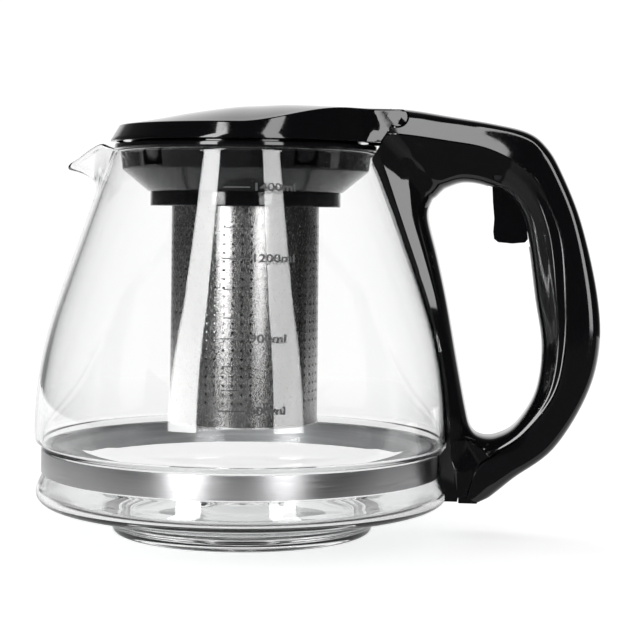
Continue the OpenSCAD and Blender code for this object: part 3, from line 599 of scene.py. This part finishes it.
# Half sections of the liner from the loop's edge to the parting line: hollowed under the arm and along the
# grip, and on the strap a keel that has a broad bevel down to the glass in its upper half
ARM_SIDE = spline([(0, 0), (0.0, 0.22), (0.02, 0.42), (0.07, 0.56), (0.16, 0.66), (0.32, 0.76), (0.48, 0.83),
                   (0.58, 0.875), (0.65, 0.905), (0.72, 0.93), (0.86, 0.966), (0.985, 1.0)], 3)
GRIP_SIDE = spline([(0, 0), (0.0, 0.22), (0.02, 0.42), (0.07, 0.56), (0.16, 0.66), (0.32, 0.76), (0.48, 0.85),
                    (0.58, 0.91), (0.65, 0.945), (0.72, 0.962), (0.92, 0.985), (0.985, 1.0)], 3)
STRAP_SIDE = spline([(0, 0), (0.0, 0.22), (0.02, 0.42), (0.07, 0.56), (0.15, 0.67), (0.24, 0.77), (0.31, 0.83),
                     (0.37, 0.857), (0.5, 0.886), (0.66, 0.922), (0.82, 0.96), (0.985, 1.0)], 3)
BEVEL_SIDE = spline([(0, 0), (0.0, 0.24), (0.02, 0.46), (0.07, 0.61), (0.15, 0.73), (0.27, 0.85), (0.38, 0.935),
                     (0.46, 0.985), (0.53, 1.0), (0.66, 1.0), (0.82, 1.0), (0.985, 1.0)], 3)
# Nearer to the loop than this share of the section, the bevel keeps the width that it has there
BREAK = 0.5
# Section of the shell from the parting line round one side to the middle of its back
SHELL_SIDE = ([(0, 0.985), (0.012, 0.997)] + [(k / 10, 1 - 0.012 * (k / 7) ** 2) for k in range(1, 7)]
              + spline([(0.68, 0.983), (0.78, 0.958), (0.865, 0.89), (0.925, 0.77), (0.965, 0.58),
                        (0.99, 0.3), (1, 0)], 4))


def bevel(x, z):
    """Half width of the strap's flat bevel: it narrows away from the glass and widens towards the arm."""
    return STRAP + 0.6 + 0.1 * (z - 93) - 0.268 * (x - hug(z))


def liner_ring(s):
    """Section of the liner at a station: two mirrored sides and a back that lies along the glass."""
    def at(u, y):
        return Vector((s[0] + (s[2] - s[0]) * u, y, s[1] + (s[3] - s[1]) * u))

    def flat(u):
        p = at(max(u, BREAK), 0)
        return bevel(p[0], p[2])

    keeled, bevelled, gripped = (min(max(share, 0), 1) for share in s[6:])
    rest = 1 - bevelled
    shares = [share / max(rest, 0.01) for share in (rest - keeled - gripped, keeled, gripped)]
    side = []
    for own, keel in zip(zip(ARM_SIDE, STRAP_SIDE, GRIP_SIDE), BEVEL_SIDE):
        u, w = (sum(share * point[k] for share, point in zip(shares, own)) for k in (0, 1))
        u = rest * u + bevelled * keel[0]
        side.append((u, rest * w * s[4] + bevelled * flat(u) * keel[1]))
    ring = [at(u, -y) for u, y in side[:0:-1]] + [at(u, y) for u, y in side]
    back_steps = 14
    edge = side[-1][1]
    for i in range(back_steps + 1):
        y = 0.975 * edge * (1 - 2 * i / back_steps)
        sink = s[5] * (s[2] - sqrt(max(s[2] ** 2 - y ** 2, 0)))
        ring.append(at(1, y) - Vector((sink, 0, 0)))
    return ring


def make_liner():
    rings = [liner_ring(s) for s in spline(LINER, 7, loop=True)]
    points = [p for ring in rings for p in ring]
    faces = grid_faces(len(rings), len(rings[0]), loop_rows=True)
    liner = piece("handle_inner", points, faces, BLACK, "pot", ["handle_liner"])
    block = foot_block()
    carve(liner, [block], "UNION")
    slot = slab([(82, 112), (82, 122), (80.2, 126), (80.2, 140), (98.4, 140), (103.4, 120),
                 (104, 100), (94.4, 96.2)], -LEVER_SLOT, LEVER_SLOT)
    pocket = slab(oblong(BAND_R - 3, BAND_Z, 73.4, BAND_Z + BAND_H), -8, 8)
    carve(liner, [slot, pocket, front_of_slant(SLANT_GAP)])
    return liner


def foot_block():
    """Foot of the handle, hollowed to the pot's heel, band and belly."""
    gap = GLASS_GAP
    outline = [(62, 33), (62, FOOT_Z), (TONGUE_X - 0.2, FOOT_Z), (TONGUE_X - 0.2, TONGUE_Z + 2),
               (75.8, TONGUE_Z + 2), (77.9, 20.6), (80.4, 25.8), (83.2, 28), (81.5, 30.2), (76, 33)]
    block = slab(rounded(outline, 0.4), 0.1 - STRAP, STRAP - 0.1)
    heel = arc(HEEL, 4 + gap, -80, 25, 12)
    pot = [(0, 5)] + heel + [(GROOVE_R + gap + 0.3, BAND_Z - 0.2), (BAND_R + BAND_T + gap, BAND_Z - 0.1),
                             (BAND_R + BAND_T + gap, BAND_Z + BAND_H + 0.1),
                             (BELLY_R + gap - 0.5, BELLY_Z - 2.5), (BELLY_R + gap, BELLY_Z),
                             (BELLY_R + gap - 0.1, 50), (0, 50)]
    points, faces = revolved(pot, 256)
    carve(block, [cutter(points, faces)])
    return block


def shell_line(s, inset):
    """Section of the shell at a station, or with an inset the inside of its wall."""
    d = Vector((s[2] - s[0], s[3] - s[1]))
    depth = d.length
    lean = ARM_LEAN * min(max((96 - s[0]) / 18, 0), 1) if s[1] > GRIP_MIDDLE else 0
    half = SHELL_SIDE + [(u, -w) for u, w in reversed(SHELL_SIDE[:-1])]
    out = []
    for v, w in half:
        u = (SHELL_SEAM + (depth - inset - SHELL_SEAM) * v) / depth
        w *= 1 - lean * v
        out.append(Vector((s[0] + d[0] * u, w * (s[4] - inset), s[1] + d[1] * u)))
    return out


def make_shell():
    stations = spline(SHELL, 7)
    rings = [shell_line(s, 0) + shell_line(s, SHELL_WALL)[::-1] for s in stations]
    n = len(rings[0])
    points = [p for ring in rings for p in ring]
    faces = grid_faces(len(rings), n)
    far = (len(rings) - 1) * n
    half = n // 2
    for base in (0, far):
        faces += [(base + j, base + j + 1, base + n - 2 - j, base + n - 1 - j) for j in range(half - 1)]
    shell = piece("handle_outer", points, faces, BLACK, "pot", ["handle_shell"])
    carve(shell, [front_of_slant(SLANT_GAP)])
    root = oblong(HINGE[0] - 1, HINGE[1] - 5, HINGE[0] + 6, HINGE[1] + 1.6)
    ears = [union_of(barrel(BARREL, y0, y1), slab(root, y0, y1))
            for y0, y1 in ((-EAR_TO, -EAR_FROM), (EAR_FROM, EAR_TO))]
    coves = [barrel(BARREL + 1.1, y0, y1)
             for y0, y1 in ((-THROUGH, -EAR_TO - EAR_GAP), (-EAR_FROM + EAR_GAP, EAR_FROM - EAR_GAP),
                            (EAR_TO + EAR_GAP, THROUGH))]
    carve(shell, coves)
    carve(shell, ears, "UNION")
    tongue = slab(rounded(oblong(TONGUE_X, TONGUE_Z, 79.6, TONGUE_Z + 1.8), 0.3),
                  -STRAP + 1.5, STRAP - 1.5)
    carve(shell, [tongue], "UNION")
    return shell


def union_of(first, second):
    carve(first, [second], "UNION", None)
    return first


def barrel(r, y0, y1):
    """Round bar about the hinge, from one Y to another."""
    turns = [2 * pi * k / 48 for k in range(48)]
    return slab([(HINGE[0] + r * cos(a), HINGE[1] + r * sin(a)) for a in turns], y0, y1)


def front_of_slant(shift):
    """Everything in front of the slanted joint between the lid and the handle."""
    return slant_block(HINGE + Vector((shift, 0)), Vector((-sin(SLANT), cos(SLANT))))


def slant_block(at, out):
    """A large block that ends at the slanted joint and lies to one side of it."""
    along = Vector((cos(SLANT), sin(SLANT)))
    start, end, depth = at - SLANT_REACH * along, at + SLANT_REACH * along, SLANT_REACH * out
    return slab([tuple(c) for c in (start, end, end + depth, start + depth)], -THROUGH, THROUGH)


# ---- lid ----

# Height of the lid's side at the front and how far its upper edge stands in, and where the underside starts
EDGE_RISE, EDGE_INSET, UNDERSIDE_INSET = 5.3, 3, 2.2
# Half outline of the tail, from the hinge towards the round lid
TAIL_PLAN = [(58.5, ARM - 1.5), (53, ARM - 0.6), (47, ARM + 0.5), (43.0, ARM + 1.3)]


def plan_reach(a, inset):
    """Distance from the axis to the lid's outline at an angle: a round lid with a tail."""
    t = abs(a if a < pi else a - 2 * pi)
    r = LID_R - inset
    tail = [(x, y - 1.45 * inset) for x, y in TAIL_PLAN]
    x, y = tail[-1]
    touch = atan2(y, x) + acos(r / sqrt(x * x + y * y))
    line = [(tail[0][0], 0)] + tail + [(r * cos(touch), r * sin(touch))]
    if t >= touch:
        return r
    for (x0, y0), (x1, y1) in zip(line, line[1:]):
        if t <= atan2(y1, x1) + 1e-9:
            cross = (x1 - x0) * sin(t) - (y1 - y0) * cos(t)
            return ((x1 - x0) * y0 - (y1 - y0) * x0) / cross if abs(cross) > 1e-9 else x1
    return r


def edge_height(x):
    """The upper edge of the lid's side climbs towards the hinge."""
    t = min(max((x - 4) / 34, 0), 1)
    return LID_Z + EDGE_RISE + 5.6 * t * t * (3 - 2 * t)


CROWN = [(-46, 135.95), (-44.2, 136.2), (-40, 137.8), (-30.5, 140.0), (-17.5, 141.5), (0, 142.9),
         (15, LID_TOP - 0.05), (28, LID_TOP - 0.1), (43, LID_TOP - 0.6), (60, LID_TOP - 0.9)]


def crown(x):
    """Height of the lid along its centre line."""
    for (x0, z0), (x1, z1) in zip(CROWN, CROWN[1:]):
        if x <= x1:
            return z0 + (z1 - z0) * (x - x0) / (x1 - x0)
    return CROWN[-1][1]


def make_lid():
    angles = [2 * pi * k / 288 for k in range(288)]

    def low(a, z, pull=0.0):
        r = plan_reach(a, EDGE_INSET * (z - LID_Z) / EDGE_RISE * 0.55 + pull)
        return Vector((r * cos(a), r * sin(a), z))

    def edge(a, lift=0.0, pull=0.0):
        r = plan_reach(a, EDGE_INSET + pull)
        z = edge_height(r * cos(a))
        return Vector((r * cos(a), r * sin(a), z + lift))

    def side(a, t):
        bottom, top = low(a, LID_Z + 0.4), edge(a)
        return bottom.lerp(top, t)

    rows = [[low(a, LID_Z, UNDERSIDE_INSET) for a in angles], [low(a, LID_Z, 0.35) for a in angles],
            [low(a, LID_Z + 0.12, 0.08) for a in angles]]
    rows += [[side(a, t) for a in angles] for t in (0, 0.2, 0.4, 0.6, 0.8, 0.93, 0.985)]
    rows += [[edge(a, 0.09, 0.14) for a in angles], [edge(a, 0.2, 0.5) for a in angles]]
    rings = 26
    for k in range(1, rings + 1):
        rho = 1 - k / rings
        row = []
        for a in angles:
            e = edge(a, 0.28, 0.9)
            x = 4 + (e[0] - 4) * max(rho, 0.0004)
            y = e[1] * max(rho, 0.0004)
            row.append(Vector((x, y, e[2] + (max(crown(x), e[2]) - e[2]) * (1 - rho ** 2.2))))
        rows.append(row)
    inner = [low(a, LID_Z, UNDERSIDE_INSET) for a in angles]
    hub = [Vector((p[0] * 0.001, p[1] * 0.001, LID_Z + 3)) for p in inner]
    rows = [hub, [p + Vector((0, 0, 3)) for p in inner]] + rows
    points = [p for row in rows for p in row]
    faces = grid_faces(len(rows), len(angles))
    lid = piece("lid_dome", points, faces, BLACK, "lid", ["lid_cover"])
    behind = behind_slant(SLANT_GAP)
    carve(behind, [barrel(BARREL + EAR_GAP, -THROUGH - 1, THROUGH + 1)], "DIFFERENCE", None)
    carve(lid, [behind])
    notches = []
    for y0, y1 in ((-EAR_TO - EAR_GAP, -EAR_FROM + EAR_GAP), (EAR_FROM - EAR_GAP, EAR_TO + EAR_GAP)):
        notch = barrel(BARREL + 1.2, y0, y1)
        corner = slab(oblong(HINGE[0] - 1.4, HINGE[1] - 6, HINGE[0] + 10, HINGE[1] + 6), y0, y1)
        notches += [union_of(notch, corner)]
    carve(lid, notches)
    return lid


def behind_slant(shift):
    """Everything behind the slanted joint between the lid and the handle."""
    return slant_block(HINGE - Vector((shift / sin(SLANT), 0)), Vector((sin(SLANT), -cos(SLANT))))


# ---- printed scale ----

# The scale faces the camera, and its print stands off the glass by MARK_LIFT
CAMERA_TURN = radians(6.5)
MARK_LIFT = 0.02
# Height of a capital over the font's size, and how much wider than the font the figures are drawn
CAPITAL_SHARE, FIGURE_WIDTH = 0.72, 1.36


def on_glass(u, z):
    """A point on the near side of the glass: u is measured to the right along the wall."""
    r = glass_r(z) + MARK_LIFT
    a = -pi / 2 + CAMERA_TURN + u / r
    return Vector((r * cos(a), r * sin(a), z))


def mark_line(name, u0, u1, z, thick=0.42):
    n = 12
    points = [on_glass(u0 + (u1 - u0) * i / n, z + s)
              for s in (-thick / 2, thick / 2) for i in range(n + 1)]
    faces = [(i, i + 1, n + 2 + i, n + 1 + i) for i in range(n)]
    return piece(name, points, faces, INK, "pot")


def mark_text(name, words, u0, z, height):
    curve = bpy.data.curves.new(name, "FONT")
    curve.body = words
    curve.size = height / CAPITAL_SHARE
    curve.align_x, curve.align_y = "LEFT", "CENTER"
    curve.offset = 0.035 * height
    holder = bpy.data.objects.new(name, curve)
    bpy.context.scene.collection.objects.link(holder)
    mesh = bpy.data.meshes.new_from_object(holder.evaluated_get(bpy.context.evaluated_depsgraph_get()))
    bpy.data.objects.remove(holder)
    for v in mesh.vertices:
        v.co = on_glass(u0 + FIGURE_WIDTH * v.co[0], z + v.co[1]) * MM
    return dress(name, mesh, INK, "pot")


# ---- other pieces keep their CAD shape ----

def finish_cad_nodes():
    looks = {"strainer_base": BASE_STEEL, "lid_liner": BLACK, "trigger": BLACK, "trigger_pin": BLUED_STEEL}
    for name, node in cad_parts.items():
        node.data.materials.clear()
        node.data.materials.append(looks.get(name, PIN_STEEL))


# ---- studio ----

CAMERA_HEIGHT, CAMERA_DISTANCE, CAMERA_SIDE = 107.6, 585.0, 25.3
CAMERA_ROLL = radians(0.6)
# Light that the table gives off by itself, and more where the camera looks straight at it
TABLE_LIFT, CAMERA_LIFT = 0.35, 0.24
TABLE_R = 870
BACKDROP = 1.08
# In reflections the table shows a painted glow that darkens from FRONT_EDGE on, and right of
# DARK_REFLECTION_EDGE it shows a near-black painted reflection under the handle (metres)
FRONT_EDGE, DARK_REFLECTION_EDGE, DARK_REFLECTION_GLOW = 0.075, 0.04, 0.08
SOFTBOX_DISTANCE, SOFTBOX_LOW, SOFTBOX_HIGH = 650, 30, 1300
# Focal length and horizon in pixels of the photograph, and its width
FOCAL_PIXELS, HORIZON_ROW, PICTURE = 1720.6, 212.0, 640


def across(x, y):
    """A point given across and away from the camera, in the part's frame."""
    c, s = cos(CAMERA_TURN), sin(CAMERA_TURN)
    return Vector((x * c - y * s, x * s + y * c, 0))


def make_camera():
    data = bpy.data.cameras.new("camera")
    data.sensor_width = 36
    data.lens = 36 * FOCAL_PIXELS / PICTURE
    data.shift_y = -(PICTURE / 2 - HORIZON_ROW) / PICTURE
    data.clip_start, data.clip_end = 0.01, 50
    camera = bpy.data.objects.new("camera", data)
    camera.location = (across(CAMERA_SIDE, -CAMERA_DISTANCE) + Vector((0, 0, CAMERA_HEIGHT))) * MM
    camera.rotation_euler = (pi / 2, 0, CAMERA_TURN)
    camera.rotation_euler.rotate_axis("Z", CAMERA_ROLL)
    bpy.context.scene.collection.objects.link(camera)
    bpy.context.scene.camera = camera


def strip_light(name, turn, width, radiance):
    """Tall softbox that only reflections see, turned towards the pot."""
    distance, low, high = SOFTBOX_DISTANCE, SOFTBOX_LOW, SOFTBOX_HIGH
    data = bpy.data.lights.new(name, "AREA")
    data.shape, data.size, data.size_y = "RECTANGLE", width * MM, (high - low) * MM
    data.energy = radiance * pi * data.size * data.size_y
    lamp = bpy.data.objects.new(name, data)
    a = radians(turn)
    lamp.location = (across(distance * sin(a), -distance * cos(a)) + Vector((0, 0, (low + high) / 2))) * MM
    pot_axis = Vector((0, 0, (low + high) / 2)) * MM
    lamp.rotation_euler = (pot_axis - lamp.location).to_track_quat("-Z", "Y").to_euler()
    lamp.visible_camera = lamp.visible_diffuse = False
    bpy.context.scene.collection.objects.link(lamp)


def studio_axes(nodes, links, position):
    """Splits a position into X across, Y away from the front of the studio, and Z up."""
    turn = nodes.new("ShaderNodeMapping")
    turn.inputs["Rotation"].default_value = (0, 0, -CAMERA_TURN)
    split = nodes.new("ShaderNodeSeparateXYZ")
    links.new(position, turn.inputs["Vector"])
    links.new(turn.outputs["Vector"], split.inputs["Vector"])
    return split


def make_world():
    world = bpy.data.worlds.new("studio")
    bpy.context.scene.world = world
    world.use_nodes = True
    nodes, links = world.node_tree.nodes, world.node_tree.links
    nodes.clear()
    split = studio_axes(nodes, links, nodes.new("ShaderNodeTexCoord").outputs["Generated"])
    rise = nodes.new("ShaderNodeMath")
    rise.operation = "MULTIPLY_ADD"
    rise.inputs[1].default_value = 0.25
    links.new(split.outputs["Z"], rise.inputs[0])
    links.new(split.outputs["Y"], rise.inputs[2])
    away = nodes.new("ShaderNodeMapRange")
    away.inputs["From Min"].default_value, away.inputs["From Max"].default_value = -1, 1
    links.new(rise.outputs["Value"], away.inputs["Value"])
    room = ramp(nodes, links, away.outputs["Result"],
                [(at, (grey, grey, grey)) for at, grey in
                 ((0.0, 0.008), (0.6, 0.015), (0.85, 0.07), (0.93, 0.2), (0.965, 1.0))])
    path = nodes.new("ShaderNodeLightPath")
    backdrop, soft = nodes.new("ShaderNodeBackground"), nodes.new("ShaderNodeBackground")
    links.new(room, backdrop.inputs["Color"])
    backdrop.inputs["Strength"].default_value = BACKDROP
    soft.inputs["Color"].default_value = (0.5, 0.5, 0.5, 1)
    mix = nodes.new("ShaderNodeMixShader")
    links.new(path.outputs["Is Diffuse Ray"], mix.inputs["Fac"])
    links.new(backdrop.outputs["Background"], mix.inputs[1])
    links.new(soft.outputs["Background"], mix.inputs[2])
    output = nodes.new("ShaderNodeOutputWorld")
    links.new(mix.outputs["Shader"], output.inputs["Surface"])


def make_floor():
    """Pale table that fades into the white backdrop and keeps the pot's soft shadow. Distances in metres."""
    m, nodes, links, paint = shader("table")
    paint.inputs["Base Color"].default_value = (0.86, 0.86, 0.86, 1)
    paint.inputs["Roughness"].default_value = 0.6
    paint.inputs["Specular IOR Level"].default_value = 0
    place = nodes.new("ShaderNodeTexCoord")
    split = studio_axes(nodes, links, place.outputs["Object"])

    def maths(operation, first, second):
        node = nodes.new("ShaderNodeMath")
        node.operation = operation
        node.use_clamp = operation == "SUBTRACT"
        for socket, value in zip(node.inputs, (first, second)):
            if isinstance(value, (int, float)):
                socket.default_value = value
            else:
                links.new(value, socket)
        return node.outputs["Value"]

    def blend(fac, first, second):
        node = nodes.new("ShaderNodeMixShader")
        links.new(fac, node.inputs["Fac"])
        links.new(first, node.inputs[1])
        links.new(second, node.inputs[2])
        return node.outputs["Shader"]

    def glow(colour=None, strength=1.0):
        node = nodes.new("ShaderNodeEmission")
        node.inputs["Strength"].default_value = strength
        if colour:
            links.new(colour, node.inputs["Color"])
        return node.outputs["Emission"]

    path = nodes.new("ShaderNodeLightPath")
    lift = nodes.new("ShaderNodeAddShader")
    extra = nodes.new("ShaderNodeEmission")
    links.new(maths("ADD", TABLE_LIFT, maths("MULTIPLY", path.outputs["Is Camera Ray"], CAMERA_LIFT)),
              extra.inputs["Strength"])
    links.new(paint.outputs["BSDF"], lift.inputs[0])
    links.new(extra.outputs["Emission"], lift.inputs[1])
    reach = nodes.new("ShaderNodeVectorMath")
    reach.operation = "LENGTH"
    links.new(place.outputs["Object"], reach.inputs[0])
    far = ramp(nodes, links, reach.outputs["Value"], [(0.2, (0, 0, 0)), (0.55, (1, 1, 1))])
    near = blend(far, lift.outputs["Shader"], glow(strength=BACKDROP))
    ahead = maths("MULTIPLY", split.outputs["Y"], -1)
    # Painted reflection: ahead of the pot, reflections see the table as a glow that dims with distance instead
    # of its lit paint.
    fade = ramp(nodes, links, ahead,
                [(at, (grey, grey, grey)) for at, grey in
                 ((0.08, 0.62), (0.13, 0.45), (0.25, 0.3), (0.45, 0.18), (0.86, 0.1))])
    direct = maths("MAXIMUM", path.outputs["Is Camera Ray"], path.outputs["Is Diffuse Ray"])
    gate = maths("SUBTRACT", maths("GREATER_THAN", ahead, FRONT_EDGE), direct)
    # Painted dark reflection: ahead of the pot and right of the edge, reflections see the table as a near-black
    # glow, which darkens the handle's reflections.
    dark_reflection_mask = maths("MULTIPLY", gate, maths("GREATER_THAN", split.outputs["X"], DARK_REFLECTION_EDGE))
    reflected_table_look = blend(dark_reflection_mask, blend(gate, near, glow(fade)), glow(strength=DARK_REFLECTION_GLOW))
    links.new(reflected_table_look, nodes["Material Output"].inputs["Surface"])
    points = [(TABLE_R * cos(2 * pi * k / 48), TABLE_R * sin(2 * pi * k / 48), 0) for k in range(48)]
    piece("table", points, [tuple(range(48))], m, None)


def make_light():
    data = bpy.data.lights.new("ceiling", "AREA")
    data.shape, data.size = "DISK", 0.9
    data.energy = 2.5
    lamp = bpy.data.objects.new("ceiling", data)
    lamp.location = (-0.35, 0.25, 0.95)
    lamp.rotation_euler = (Vector((0, 0, 0.05)) - lamp.location).to_track_quat("-Z", "Y").to_euler()
    lamp.visible_camera = lamp.visible_glossy = lamp.visible_transmission = False
    bpy.context.scene.collection.objects.link(lamp)


def make_marks():
    for z, words in ((47.6, "600ml"), (69.0, "900ml"), (93.1, "1200ml"), (115.1, "1400ml")):
        mark_line("scale_line_" + words, -4.7, 3.5, z)
        mark_text("scale_number_" + words, words, 4.3, z, 2.45)
    for k, z in enumerate((53.7, 60.8, 75.2, 83.7, 102.6)):
        mark_line(f"scale_tick_{k}", -3.8, 0.9, z, 0.34)


finish_cad_nodes()
make_camera()
make_world()
make_floor()
make_light()
strip_light("softbox_left", -28.5, 165, 12)
strip_light("softbox_right", 25.3, 172, 7)
make_glass()
make_band()
make_collar()
make_ring()
make_sleeve()
make_liner()
make_shell()
make_lid()
make_marks()
bpy.context.scene.view_settings.view_transform = "Standard"
